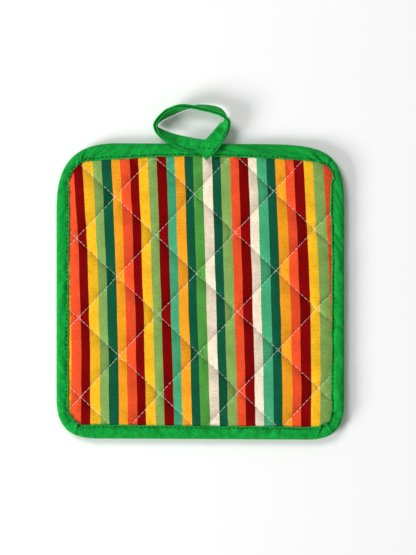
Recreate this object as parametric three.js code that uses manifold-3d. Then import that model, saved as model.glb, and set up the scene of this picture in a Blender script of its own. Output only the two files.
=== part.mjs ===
// A square quilted pot holder: two printed cotton covers quilted in diamonds over a wadding, bound all
// round with folded cotton tape, with a hanging loop of the same tape sewn to the middle of the top edge.
// Millimetres. It lies on its back: +Z is up, away from the table, and +Y runs from the middle to the loop.
// The pad bends across its middle, so every layer that crosses the fold is a lower and an upper half.
import * as THREE from "three";
import { mergeVertices } from "three/addons/utils/BufferGeometryUtils.js";
import Module from "manifold-3d";

const wasm = await Module();
wasm.setup();

// ---- driving dimensions ----
const PAD_WIDTH = 200;
const PAD_HEIGHT = 206;
const PAD_THICKNESS = 8;
const BINDING_WIDTH = 9.4;
const TAPE_THICKNESS = 1.3;
const COVER_THICKNESS = 0.8;
const FLANGE_THICKNESS = 3.6; // both covers and the wadding, pinched together under the binding
const LAYER_GAP = 0.1;
const FOLD_GAP = 0.3;
const LOOP_HINGE_GAP = 1; // lets the loop lean back as well as fold forward
const CURVE_STEPS = 10;
const SIDE_STEPS = 6;

// The corners of the outer edge and of the binding's inner edge: the point the sides would meet at, how far
// the rounding reaches along the top or bottom edge and along the side, and how squarely its two handles pull
// it out towards that point (0.55 would be a plain ellipse).
const OUTER_CORNERS = [
  { x: 100, y: -103, reachX: 25, reachY: 26, pullX: 0.7, pullY: 0.7 },
  { x: 100, y: 102.5, reachX: 68, reachY: 43, pullX: 0.79, pullY: 0.96 },
  { x: -100, y: 103, reachX: 42, reachY: 45, pullX: 0.7, pullY: 0.7 },
  { x: -100, y: -102.2, reachX: 28, reachY: 28, pullX: 0.7, pullY: 0.7 },
];
const INNER_CORNERS = [
  { x: 90.6, y: -94, reachX: 9, reachY: 11, pullX: 0.65, pullY: 0.65 },
  { x: 91.4, y: 90.4, reachX: 14, reachY: 9, pullX: 0.5, pullY: 0.5 },
  { x: -91, y: 90.4, reachX: 13, reachY: 16, pullX: 0.5, pullY: 0.5 },
  { x: -91.6, y: -92.4, reachX: 11, reachY: 10, pullX: 0.4, pullY: 0.4 },
];
const INNER_TOP_BOW = 3.2; // the tape is narrower over the middle of the top edge

// Quilting seams: where each crosses the pad's horizontal midline, and the step between neighbours.
const RISING_SEAM = { first: -124.6, step: 54.9, count: 6 };
const FALLING_SEAM = { first: -156.2, step: 55.5, count: 6 };
const QUILTING_TURN = 1.8; // degrees that the whole quilting pattern sits askew on the pad
const QUILTING_THREAD = { width: 0.6, height: 0.4 };
const BINDING_THREAD = { width: 0.5, height: 0.35 };
const BINDING_SEAM_SHARE = 0.84; // how far across the binding its seam runs, from the outer edge

// The hanging loop: folded tape, standing on its edge round the bend and lying flat where it is sewn on.
const LOOP_TAPE = { width: 10.4, thickness: 1.8 };
const LOOP_STEPS = 92;
const LOOP_THREAD = { width: 0.5, height: 0.35, fromEdge: 1.1, standOff: 0.25 };
const TACK_LENGTH = 9;
const TACK_AT = { x: 5, y: 99.2 };

const COLOURS = {
  print: 0xe8a21c,
  green: 0x11913a,
  wadding: 0xf1efe8,
  white: 0xf2ede4,
};

// ---- places worked out from the dimensions ----
const MIDDLE_Z = PAD_THICKNESS / 2;
const FLANGE_TOP = MIDDLE_Z + FLANGE_THICKNESS / 2;
const BINDING_TOP = FLANGE_TOP + LAYER_GAP + TAPE_THICKNESS;
const FLANGE_COVER = 0.6; // a cover is pressed thinner under the binding
const LOOP_Z = PAD_THICKNESS + LAYER_GAP + LOOP_TAPE.thickness / 2;
const TAB_Z = LOOP_Z + LOOP_TAPE.thickness + 4 * LAYER_GAP;

function material(colour, roughness) {
  return new THREE.MeshStandardMaterial({ color: colour, roughness, metalness: 0 });
}

const FINISHES = {
  print: material(COLOURS.print, 0.85),
  tape: material(COLOURS.green, 0.8),
  wadding: material(COLOURS.wadding, 0.95),
  whiteThread: material(COLOURS.white, 0.6),
  greenThread: material(COLOURS.green, 0.6),
};

// ---- outlines ----
function cornerCurve({ x, y, reachX, reachY, pullX, pullY }) {
  const signX = Math.sign(x);
  const signY = Math.sign(y);
  const points = [
    new THREE.Vector2(x - signX * reachX, y),
    new THREE.Vector2(x - signX * reachX * (1 - pullX), y),
    new THREE.Vector2(x, y - signY * reachY * (1 - pullY)),
    new THREE.Vector2(x, y - signY * reachY),
  ];
  if (signX === signY) points.reverse();
  return new THREE.CubicBezierCurve(...points);
}

// Anticlockwise from the bottom right corner. The top side rises by topBow at its middle.
function outline(corners, topBow) {
  const turns = corners.map(cornerCurve);
  const topSide = 1;
  return turns.flatMap((turn, side) => {
    const start = turn.getPoint(1);
    const end = turns[(side + 1) % turns.length].getPoint(0);
    const middle = start.clone().lerp(end, 0.5);
    middle.y += side === topSide ? 2 * topBow : 0;
    const straight = new THREE.QuadraticBezierCurve(start, middle, end);
    return [...turn.getPoints(CURVE_STEPS), ...straight.getPoints(SIDE_STEPS).slice(1, -1)];
  });
}

const OUTER = outline(OUTER_CORNERS, 0);
const INNER = outline(INNER_CORNERS, INNER_TOP_BOW);

// The outline a share of the way across the binding, from its outer edge at 0 to its inner edge at 1, and
// beyond that drawn in evenly towards the middle.
function ringAt(share) {
  if (share <= 1) return OUTER.map((point, i) => point.clone().lerp(INNER[i], share));
  const shrink = 1 - ((share - 1) * BINDING_WIDTH) / (PAD_WIDTH / 2);
  return INNER.map((point) => point.clone().multiplyScalar(shrink));
}

// ---- solids ----
// Sides between rings of points with the same count, each a list of Vector3; the last ring meets the
// first if closed, and flat caps end it if not.
function loft(rings, closed) {
  const count = rings[0].length;
  const positions = rings.flat().flatMap((p) => [p.x, p.y, p.z]);
  const indices = [];
  const spans = closed ? rings.length : rings.length - 1;
  for (let r = 0; r < spans; r += 1) {
    const near = r * count;
    const far = ((r + 1) % rings.length) * count;
    for (let i = 0; i < count; i += 1) {
      const j = (i + 1) % count;
      indices.push(near + i, near + j, far + j, near + i, far + j, far + i);
    }
  }
  const geometry = new THREE.BufferGeometry();
  geometry.setAttribute("position", new THREE.Float32BufferAttribute(positions, 3));
  return { geometry, indices, last: (rings.length - 1) * count };
}

// A sheet or slab: profile is [share across the binding, z] from its lower middle round to its upper middle.
function slab(profile) {
  const rings = profile.map(([share, z]) => ringAt(share).map((p) => new THREE.Vector3(p.x, p.y, z)));
  const { geometry, indices, last } = loft(rings, false);
  const cap = (ring) => THREE.ShapeUtils.triangulateShape(ring.map((p) => new THREE.Vector2(p.x, p.y)), []);
  cap(rings[0]).forEach(([a, b, c]) => indices.push(a, c, b));
  cap(rings.at(-1)).forEach(([a, b, c]) => indices.push(last + a, last + b, last + c));
  geometry.setIndex(indices);
  return geometry;
}

// A channel or cord that runs all round the pad: section is [share, z] anticlockwise seen with z up and
// the outer edge on the right.
function hoop(section) {
  const rings = section.map(([share, z]) => ringAt(share).map((p) => new THREE.Vector3(p.x, p.y, z)));
  const { geometry, indices } = loft(rings, true);
  geometry.setIndex(indices);
  return geometry;
}

function toSolid(geometry) {
  const bare = geometry.clone();
  bare.deleteAttribute("normal");
  bare.deleteAttribute("uv");
  const merged = mergeVertices(bare, 1e-4);
  const vertProperties = new Float32Array(merged.attributes.position.array);
  const triVerts = new Uint32Array(merged.index.array);
  return new wasm.Manifold(new wasm.Mesh({ numProp: 3, vertProperties, triVerts }));
}

function toGeometry(solid) {
  const mesh = solid.getMesh();
  const geometry = new THREE.BufferGeometry();
  geometry.setAttribute("position", new THREE.Float32BufferAttribute(mesh.vertProperties, mesh.numProp));
  geometry.setIndex(new THREE.BufferAttribute(mesh.triVerts, 1));
  geometry.computeVertexNormals();
  return geometry;
}

function block(width, height, depth, x, y, z, turn = 0) {
  const box = new THREE.BoxGeometry(width, height, depth);
  box.rotateZ(turn);
  box.translate(x, y, z);
  return toSolid(box);
}

// Everything on one side of a horizontal line across the pad, +1 above it and -1 below it.
const FAR = 400;
function halfSpace(side, line, gap) {
  return block(FAR, FAR, FAR, 0, line + side * (FAR / 2 + gap / 2), 0);
}

const HALVES = { lower: halfSpace(-1, 0, FOLD_GAP), upper: halfSpace(1, 0, FOLD_GAP) };

function piece(name, solid, finish) {
  const mesh = new THREE.Mesh(toGeometry(solid), finish);
  mesh.name = name;
  return mesh;
}

// ---- the layers of the pad ----
// Turns a profile for the front of the pad over, to make the same one on the back.
function onBack(profile) {
  return profile.map(([share, z]) => [share, PAD_THICKNESS - z]).reverse();
}

function seamBars({ width, height }, top) {
  const length = 2 * (PAD_WIDTH + PAD_HEIGHT);
  const rows = [
    { ...RISING_SEAM, turn: Math.PI / 4 },
    { ...FALLING_SEAM, turn: -Math.PI / 4 },
  ];
  return rows
    .flatMap(({ first, step, count, turn }) =>
      Array.from({ length: count }, (_, k) => {
        return block(length, width, height, first + k * step, 0, top - height / 2, turn);
      }),
    )
    .reduce((all, bar) => all.add(bar))
    .rotate([0, 0, QUILTING_TURN]);
}

function frontCover() {
  const top = PAD_THICKNESS;
  const inside = top - COVER_THICKNESS;
  return [
    [1.42, inside],
    [1.12, FLANGE_TOP - FLANGE_COVER],
    [0.2, FLANGE_TOP - FLANGE_COVER],
    [0.2, FLANGE_TOP],
    [1.06, FLANGE_TOP],
    [1.36, top],
  ];
}

function wadding() {
  const inside = PAD_THICKNESS - COVER_THICKNESS - LAYER_GAP;
  const flange = FLANGE_TOP - FLANGE_COVER - LAYER_GAP;
  const upper = [
    [0.24, flange],
    [1.16, flange],
    [1.48, inside],
  ];
  return [...onBack(upper), ...upper];
}

function binding() {
  const legInside = BINDING_TOP - TAPE_THICKNESS;
  const wall = TAPE_THICKNESS / BINDING_WIDTH;
  const upper = [
    [0, MIDDLE_Z + 1.2],
    [0.07, BINDING_TOP - 0.9],
    [0.2, BINDING_TOP],
    [1, BINDING_TOP],
    [1, legInside],
    [wall, legInside],
  ];
  const lower = onBack(upper);
  return [...upper, ...lower];
}

function bindingSeam() {
  const half = BINDING_THREAD.width / BINDING_WIDTH / 2;
  const low = BINDING_TOP + LAYER_GAP;
  const high = low + BINDING_THREAD.height;
  const [near, far] = [BINDING_SEAM_SHARE - half, BINDING_SEAM_SHARE + half];
  return [
    [near, low],
    [near, high],
    [far, high],
    [far, low],
  ];
}

// ---- the hanging loop ----
// The two edges of the tape, from its hidden end to its end on top: the stitched edge and the folded edge.
const LOOP_EDGES = [
  { sewn: [4, 96.7, LOOP_Z], fold: [6.4, 105, LOOP_Z] },
  { sewn: [-3.9, 97.3, LOOP_Z], fold: [-1.6, 105.9, LOOP_Z] },
  { sewn: [-9.3, 97.9, LOOP_Z + 0.2], fold: [-7.4, 107, LOOP_Z - 0.3] },
  { sewn: [-13.5, 98.8, LOOP_Z + 0.6], fold: [-11.2, 107.8, LOOP_Z - 1.2] },
  { sewn: [-19.8, 102, LOOP_Z + 1.5], fold: [-16.2, 109, 4.2] },
  { sewn: [-25.6, 105.6, 10.8], fold: [-21.4, 110.5, 2.7] },
  { sewn: [-29.4, 109.5, 11.2], fold: [-26.2, 112.3, 1.8] },
  { sewn: [-31.1, 113.2, 11.6], fold: [-29.6, 113.9, 1.4] },
  { sewn: [-31.2, 116.4, 11.7], fold: [-30.3, 116.4, 1.4] },
  { sewn: [-28.1, 121, 11.5], fold: [-26.6, 119.7, 1.4] },
  { sewn: [-22.6, 125.7, 11.2], fold: [-20.6, 122.4, 1.5] },
  { sewn: [-14.8, 128.4, 11.4], fold: [-13.8, 125.6, 1.5] },
  { sewn: [-7.1, 128, 11.7], fold: [-6.9, 128, 1.4] },
  { sewn: [-1, 126.8, 11.5], fold: [-0.3, 129.6, 1.5] },
  { sewn: [5.4, 125.3, 11.1], fold: [6.6, 129.3, 1.6] },
  { sewn: [11.8, 123.5, 11], fold: [13.2, 127.8, 1.6] },
  { sewn: [16.2, 120.9, 11.6], fold: [17, 123.4, 1.5] },
  { sewn: [18.6, 117.8, 11.6], fold: [16.6, 120.2, 1.8] },
  { sewn: [19.4, 114.4, 11.5], fold: [14.4, 118, 3.2] },
  { sewn: [18.6, 110, 11.4], fold: [11.6, 114.6, 5.4] },
  { sewn: [16, 104.2, 11.3], fold: [8.2, 110.4, 9] },
  { sewn: [12.2, 98.2, TAB_Z], fold: [4.2, 106, TAB_Z] },
  { sewn: [8.3, 94.1, TAB_Z], fold: [0.2, 102.2, TAB_Z] },
  { sewn: [4.4, 91.1, TAB_Z], fold: [-3.4, 98.8, TAB_Z] },
];

function frameAlong(share) {
  const edges = LOOP_EDGES.map(({ sewn, fold }) => [new THREE.Vector3(...sewn), new THREE.Vector3(...fold)]);
  const ats = new THREE.CatmullRomCurve3(edges.map(([sewn, fold]) => sewn.clone().lerp(fold, 0.5)));
  const ways = new THREE.CatmullRomCurve3(edges.map(([sewn, fold]) => sewn.clone().sub(fold).normalize()));
  const forward = ats.getTangent(share);
  const across = ways.getPoint(share);
  across.addScaledVector(forward, -across.dot(forward)).normalize();
  return { at: ats.getPoint(share), across, up: new THREE.Vector3().crossVectors(forward, across) };
}

// A flat bar along the loop: its width runs across the tape and its height through it.
function alongLoop(from, to, steps, width, height, offAcross, offUp) {
  const rings = Array.from({ length: steps + 1 }, (_, i) => {
    const { at, across, up } = frameAlong(from + ((to - from) * i) / steps);
    return [
      [-1, -1],
      [1, -1],
      [1, 1],
      [-1, 1],
    ].map(([a, u]) =>
      at
        .clone()
        .addScaledVector(across, offAcross + (a * width) / 2)
        .addScaledVector(up, offUp + (u * height) / 2),
    );
  });
  const { geometry, indices, last } = loft(rings, false);
  indices.push(0, 2, 1, 0, 3, 2, last, last + 1, last + 2, last, last + 2, last + 3);
  geometry.setIndex(indices);
  return toSolid(geometry);
}

// The loop swings about the pad's top edge, so it is cut there into its free bend and its two sewn ends.
function hangingLoop() {
  const tape = alongLoop(0, 1, LOOP_STEPS, LOOP_TAPE.width, LOOP_TAPE.thickness, 0, 0);
  const threadAcross = LOOP_TAPE.width / 2 - LOOP_THREAD.fromEdge;
  const threadUp = -(LOOP_TAPE.thickness / 2 + LOOP_THREAD.standOff + LOOP_THREAD.height / 2);
  const thread = alongLoop(0.02, 0.98, LOOP_STEPS, LOOP_THREAD.width, LOOP_THREAD.height, threadAcross, threadUp);
  const free = halfSpace(1, PAD_HEIGHT / 2, LOOP_HINGE_GAP);
  const sewn = halfSpace(-1, PAD_HEIGHT / 2, LOOP_HINGE_GAP);
  const ends = tape.intersect(sewn).decompose();
  const [start, tab] = ends.sort((a, b) => a.boundingBox().max[2] - b.boundingBox().max[2]);
  return { bend: tape.intersect(free), start, tab, thread: thread.intersect(free) };
}

function tackSeam() {
  const z = TAB_Z + LOOP_TAPE.thickness / 2 + LAYER_GAP + BINDING_THREAD.height / 2;
  return block(TACK_LENGTH, BINDING_THREAD.width, BINDING_THREAD.height, TACK_AT.x, TACK_AT.y, z);
}

// ---- the assembly ----
function buildPad() {
  const groove = { width: QUILTING_THREAD.width + 2 * LAYER_GAP, height: QUILTING_THREAD.height + LAYER_GAP };
  const field = toSolid(slab([[1.38, -1], [1.38, PAD_THICKNESS + 1]]));
  const frontThread = seamBars(QUILTING_THREAD, PAD_THICKNESS).intersect(field);
  const backThread = seamBars(QUILTING_THREAD, QUILTING_THREAD.height).intersect(field);
  const layers = {
    front_cover: [toSolid(slab(frontCover())).subtract(seamBars(groove, PAD_THICKNESS)), FINISHES.print],
    back_cover: [toSolid(slab(onBack(frontCover()))).subtract(seamBars(groove, groove.height)), FINISHES.print],
    wadding: [toSolid(slab(wadding())), FINISHES.wadding],
    binding: [toSolid(hoop(binding())), FINISHES.tape],
    front_quilting_thread: [frontThread, FINISHES.whiteThread],
    back_quilting_thread: [backThread, FINISHES.whiteThread],
    front_binding_seam: [toSolid(hoop(bindingSeam())), FINISHES.greenThread],
    back_binding_seam: [toSolid(hoop(onBack(bindingSeam()))), FINISHES.greenThread],
  };
  const group = new THREE.Group();
  for (const [half, space] of Object.entries(HALVES)) {
    for (const [name, [solid, finish]] of Object.entries(layers)) {
      group.add(piece(`${name}_${half}`, solid.intersect(space), finish));
    }
  }
  return group;
}

function buildLoop() {
  const { bend, start, tab, thread } = hangingLoop();
  const group = new THREE.Group();
  group.add(piece("hanging_loop", bend, FINISHES.tape));
  group.add(piece("loop_start", start, FINISHES.tape));
  group.add(piece("loop_end_tab", tab, FINISHES.tape));
  group.add(piece("loop_edge_seam", thread, FINISHES.greenThread));
  group.add(piece("loop_tack_seam", tackSeam(), FINISHES.greenThread));
  return group;
}

const potHolder = new THREE.Group();
potHolder.add(buildPad(), buildLoop());

// The origin is the middle of the whole outline, on the table.
const bounds = new THREE.Box3().setFromObject(potHolder, true);
const centre = bounds.getCenter(new THREE.Vector3());
potHolder.position.set(-centre.x, -centre.y, -bounds.min.z);

export default potHolder;
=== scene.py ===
"""Dresses a square quilted pot holder: printed covers over wadding, a bound edge and a tape loop.

The pad lies on its back on a pale floor. Shapes are worked out in millimetres from the middle of the pad,
with +X to the right, +Y towards the loop and +Z up from the floor, and are put into the frame, in metres,
when each piece is finished.
"""

import logging
import math
from dataclasses import dataclass
from enum import Enum
from typing import Sequence

import bpy
import numpy as np
from mathutils import Matrix, Vector, noise
from mathutils.bvhtree import BVHTree


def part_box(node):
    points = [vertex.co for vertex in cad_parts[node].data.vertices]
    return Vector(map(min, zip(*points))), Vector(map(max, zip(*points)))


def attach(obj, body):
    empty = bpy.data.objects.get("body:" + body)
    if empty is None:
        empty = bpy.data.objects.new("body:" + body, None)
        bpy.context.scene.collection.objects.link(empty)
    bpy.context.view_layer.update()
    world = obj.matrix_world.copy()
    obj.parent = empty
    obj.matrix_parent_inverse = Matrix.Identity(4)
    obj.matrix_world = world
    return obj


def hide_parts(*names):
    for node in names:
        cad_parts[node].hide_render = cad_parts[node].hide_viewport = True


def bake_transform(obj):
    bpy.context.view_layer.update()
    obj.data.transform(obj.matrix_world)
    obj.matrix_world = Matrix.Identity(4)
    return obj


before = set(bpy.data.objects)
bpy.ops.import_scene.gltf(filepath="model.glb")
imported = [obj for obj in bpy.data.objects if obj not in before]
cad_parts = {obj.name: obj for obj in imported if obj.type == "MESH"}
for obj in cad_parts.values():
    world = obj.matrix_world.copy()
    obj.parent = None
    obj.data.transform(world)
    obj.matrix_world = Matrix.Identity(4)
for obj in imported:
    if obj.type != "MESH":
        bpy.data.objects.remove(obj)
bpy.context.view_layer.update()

MM = 0.001
CLOTH_UV = "cloth"
UV_SPAN = 100.0  # millimetres of cloth in one unit of the cloth's own coordinates

LOG = logging.getLogger("pot_holder")

Colour = tuple[float, float, float]
Array = np.ndarray


# ---------------------------------------------------------------------------------------------- helpers
def from_srgb(red: int, green: int, blue: int) -> Colour:
    """A colour given in display values of 0 to 255.

    Args:
        red, green, blue: the display values.

    Returns:
        The same colour in linear light, for a shader.
    """
    shares = (value / 255 for value in (red, green, blue))
    return tuple(s / 12.92 if s <= 0.04045 else ((s + 0.055) / 1.055) ** 2.4 for s in shares)


def smoothstep(low: float, high: float, value: Array) -> Array:
    """Zero below low, one above high, and an easy slope between."""
    share = np.clip((value - low) / (high - low), 0, 1)
    return share * share * (3 - 2 * share)


def bump_at(distance: Array, radius: float) -> Array:
    """A round bump of height one that fades out by about twice the radius."""
    return np.exp(-((distance / radius) ** 2))


def smooth_curve(points: Array, samples: int) -> Array:
    """A smooth open curve through points.

    Args:
        points: one point to a row, of any dimension.
        samples: how many points the result has.

    Returns:
        Points spaced evenly in the curve's own measure, first and last included.
    """
    padded = np.vstack([2 * points[0] - points[1], points, 2 * points[-1] - points[-2]])
    places = np.linspace(0, len(points) - 1, samples)
    start = np.minimum(places.astype(int), len(points) - 2)
    t = (places - start)[:, None]
    before, here, there, after = (padded[start + k] for k in range(4))
    return 0.5 * (
        2 * here
        + (there - before) * t
        + (2 * before - 5 * here + 4 * there - after) * t**2
        + (3 * here - before - 3 * there + after) * t**3
    )


def lengths_along(points: Array) -> Array:
    """How far along a row of points each one lies, from 0 at the first."""
    steps = np.linalg.norm(np.diff(points, axis=0), axis=1)
    return np.concatenate([[0.0], np.cumsum(steps)])


def inside(points: Array, outline: Array) -> Array:
    """Which of the points lie within a closed outline.

    Args:
        points: two numbers to a row.
        outline: its points, in order.

    Returns:
        True or False for each point.
    """
    x, y = points[:, 0, None], points[:, 1, None]
    ax, ay = outline[:, 0], outline[:, 1]
    bx, by = np.roll(ax, -1), np.roll(ay, -1)
    spans = (ay > y) != (by > y)
    crossing = ax + (y - ay) * (bx - ax) / np.where(by == ay, 1e-12, by - ay)
    return (spans & (x < crossing)).sum(1) % 2 == 1


def distance_to(points: Array, outline: Array) -> Array:
    """How far each point lies from a closed outline.

    Args:
        points: two numbers to a row.
        outline: its points, in order.

    Returns:
        One distance for each point.
    """
    start, end = outline, np.roll(outline, -1, axis=0)
    run = end - start
    nearest = np.full(len(points), np.inf)
    for a, d in zip(start, run):
        share = np.clip(((points - a) @ d) / max(d @ d, 1e-12), 0, 1)
        gap = points - a - share[:, None] * d
        nearest = np.minimum(nearest, (gap * gap).sum(1))
    return np.sqrt(nearest)


def waver(points: Array, size: float, seed: float) -> Array:
    """A smooth random value at each point, mostly between -0.5 and 0.5.

    Args:
        points: two or three numbers to a row, in millimetres.
        size: how far apart its ups and downs are.
        seed: moves to another stretch of the same noise.

    Returns:
        One value for each point.
    """
    flat = points.shape[1] == 2
    return np.array(
        [
            noise.noise(Vector((p[0] / size + seed, p[1] / size - seed, seed if flat else p[2] / size)))
            for p in points
        ]
    )


def deselect_all() -> None:
    """Leaves nothing selected, so that the next operator acts only on what it is given."""
    if bpy.context.object and bpy.context.object.mode != "OBJECT":
        bpy.ops.object.mode_set(mode="OBJECT")
    bpy.ops.object.select_all(action="DESELECT")


def take(obj: bpy.types.Object) -> None:
    """Selects one object alone and makes it the active one."""
    deselect_all()
    obj.select_set(True)
    bpy.context.view_layer.objects.active = obj


def vertices_of(obj: bpy.types.Object) -> Array:
    """The places of a mesh's vertices, one to a row."""
    places = np.empty(len(obj.data.vertices) * 3)
    obj.data.vertices.foreach_get("co", places)
    return places.reshape(-1, 3)


def move_vertices(obj: bpy.types.Object, places: Array) -> None:
    """Puts a mesh's vertices at new places, one to a row."""
    obj.data.vertices.foreach_set("co", np.ascontiguousarray(places, dtype=float).ravel())
    obj.data.update()


def lay_cloth_uv(obj: bpy.types.Object, flat: Array) -> None:
    """Gives a mesh its cloth coordinates: where each vertex lay when the cloth was flat.

    Args:
        obj: the mesh.
        flat: two numbers for each vertex, in millimetres.
    """
    layer = obj.data.uv_layers.get(CLOTH_UV) or obj.data.uv_layers.new(name=CLOTH_UV)
    corners = np.empty(len(obj.data.loops), int)
    obj.data.loops.foreach_get("vertex_index", corners)
    layer.data.foreach_set("uv", (flat[corners] / UV_SPAN).ravel())


def cut_cloth(name: str, columns: int, rows: int) -> tuple[bpy.types.Object, Array]:
    """A flat piece of cloth as a grid, ready to be shaped.

    Args:
        name: what the piece is called.
        columns: squares along X.
        rows: squares along Y.

    Returns:
        The mesh, and for each vertex its share along X and along Y, from 0 to 1.
    """
    deselect_all()
    bpy.ops.mesh.primitive_grid_add(x_subdivisions=columns, y_subdivisions=rows, size=1, calc_uvs=False)
    obj = bpy.context.object
    obj.name = obj.data.name = name
    return obj, vertices_of(obj)[:, :2] + 0.5


def keep_only(obj: bpy.types.Object, kept: Array) -> None:
    """Deletes the vertices of a mesh that aren't kept.

    Args:
        obj: the mesh.
        kept: True for each vertex that stays.
    """
    take(obj)
    obj.data.vertices.foreach_set("select", ~kept)
    obj.data.edges.foreach_set("select", np.zeros(len(obj.data.edges), bool))
    obj.data.polygons.foreach_set("select", np.zeros(len(obj.data.polygons), bool))
    bpy.ops.object.mode_set(mode="EDIT")
    bpy.ops.mesh.select_mode(type="VERT")
    bpy.ops.object.mode_set(mode="OBJECT")
    obj.data.vertices.foreach_set("select", ~kept)
    bpy.ops.object.mode_set(mode="EDIT")
    bpy.ops.mesh.delete(type="VERT")
    bpy.ops.object.mode_set(mode="OBJECT")


def edit_whole(obj: bpy.types.Object, operator: object, **settings: float) -> None:
    """Runs one mesh operator on the whole of a mesh.

    Args:
        obj: the mesh.
        operator: the operator.
        settings: what the operator is told.
    """
    take(obj)
    bpy.ops.object.mode_set(mode="EDIT")
    bpy.ops.mesh.select_all(action="SELECT")
    operator(**settings)
    bpy.ops.object.mode_set(mode="OBJECT")


def turn_faces(obj: bpy.types.Object) -> None:
    """Turns every face of a mesh to look the other way."""
    edit_whole(obj, bpy.ops.mesh.flip_normals)


def thicken(obj: bpy.types.Object, thickness: float) -> None:
    """Gives a sheet its thickness, inwards from the side its faces look to."""
    take(obj)
    modifier = obj.modifiers.new("Solidify", "SOLIDIFY")
    modifier.thickness, modifier.offset, modifier.use_quality_normals = thickness, -1.0, True
    bpy.ops.object.modifier_apply(modifier=modifier.name)


def smooth(obj: bpy.types.Object) -> None:
    """Shades a mesh as one smooth surface."""
    take(obj)
    bpy.ops.object.shade_smooth()


def add_object(name: str, data: bpy.types.ID) -> bpy.types.Object:
    """Puts a mesh, a light or a camera into the scene."""
    obj = bpy.data.objects.new(name, data)
    bpy.context.scene.collection.objects.link(obj)
    return obj


def label(obj: bpy.types.Object, slot: str, *nodes: str) -> None:
    """Hides the CAD nodes that a finished piece stands for, and logs its face count.

    Args:
        obj: the piece.
        slot: not used.
        nodes: the names of the CAD nodes.
    """
    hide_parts(*nodes)
    LOG.info("%s: %d faces", obj.name, len(obj.data.polygons))


@dataclass(frozen=True)
class Place:
    """Where the pad lies in the frame.

    Attributes:
        middle: the middle of the pad on the floor, in metres.
    """

    middle: Vector

    @classmethod
    def of_pad(cls) -> "Place":
        """The pad's place, from the CAD binding that runs all round it."""
        low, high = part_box("binding_lower")[0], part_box("binding_upper")[1]
        return cls(Vector(((low.x + high.x) / 2, (low.y + high.y) / 2, 0)))

    def point(self, x: float, y: float, z: float) -> Vector:
        """A point given in the pad's millimetres, in the frame."""
        return self.middle + Vector((x, y, z)) * MM

    def settle(self, obj: bpy.types.Object) -> None:
        """Puts a mesh that was made in the pad's millimetres into the frame."""
        obj.data.transform(Matrix.Translation(self.middle) @ Matrix.Scale(MM, 4))
        obj.data.update()


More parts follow.
